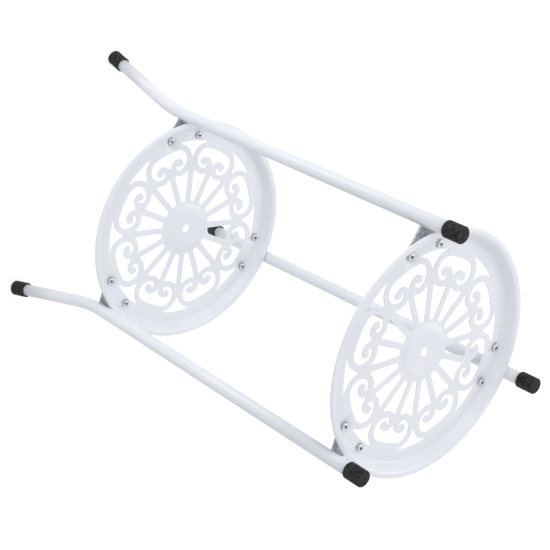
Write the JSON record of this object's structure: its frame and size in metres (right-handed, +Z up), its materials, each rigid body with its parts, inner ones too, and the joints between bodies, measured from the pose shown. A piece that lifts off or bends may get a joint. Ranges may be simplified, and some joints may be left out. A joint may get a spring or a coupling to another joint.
{
  "type": "plant stand",
  "caption": "Tiered round plant stand with bent tube legs, pierced scrollwork trays with raised rims, and rubber caps on the leg ends.",
  "frame": {"origin": "on the floor, under the centre of the stand's bounding box", "axes": "+Z up; +Y towards leg 1; +X to the right when looking along +Y"},
  "size_m": [0.3646, 0.3604, 0.6594],
  "materials": {
    "white_paint": "satin",
    "black_rubber": "matte",
    "zinc_steel": "satin",
    "grey_steel": "satin"
  },
  "bodies": {
    "root": {"leg_1": "white_paint", "top_cap_1": "black_rubber", "foot_cap_1": "black_rubber", "leg_2": "white_paint", "top_cap_2": "black_rubber", "foot_cap_2": "black_rubber", "leg_3": "white_paint", "top_cap_3": "black_rubber", "foot_cap_3": "black_rubber", "lower_tray": "white_paint", "lower_bracket_1": "grey_steel", "lower_screw_1_right": "zinc_steel", "lower_nut_1_right": "zinc_steel", "lower_screw_1_left": "zinc_steel", "lower_nut_1_left": "zinc_steel", "lower_bracket_2": "grey_steel", "lower_screw_2_right": "zinc_steel", "lower_nut_2_right": "zinc_steel", "lower_screw_2_left": "zinc_steel", "lower_nut_2_left": "zinc_steel", "lower_bracket_3": "grey_steel", "lower_screw_3_right": "zinc_steel", "lower_nut_3_right": "zinc_steel", "lower_screw_3_left": "zinc_steel", "lower_nut_3_left": "zinc_steel", "upper_tray": "white_paint", "upper_bracket_1": "grey_steel", "upper_screw_1_right": "zinc_steel", "upper_nut_1_right": "zinc_steel", "upper_screw_1_left": "zinc_steel", "upper_nut_1_left": "zinc_steel", "upper_bracket_2": "grey_steel", "upper_screw_2_right": "zinc_steel", "upper_nut_2_right": "zinc_steel", "upper_screw_2_left": "zinc_steel", "upper_nut_2_left": "zinc_steel", "upper_bracket_3": "grey_steel", "upper_screw_3_right": "zinc_steel", "upper_nut_3_right": "zinc_steel", "upper_screw_3_left": "zinc_steel", "upper_nut_3_left": "zinc_steel"}
  },
  "joints": []
}
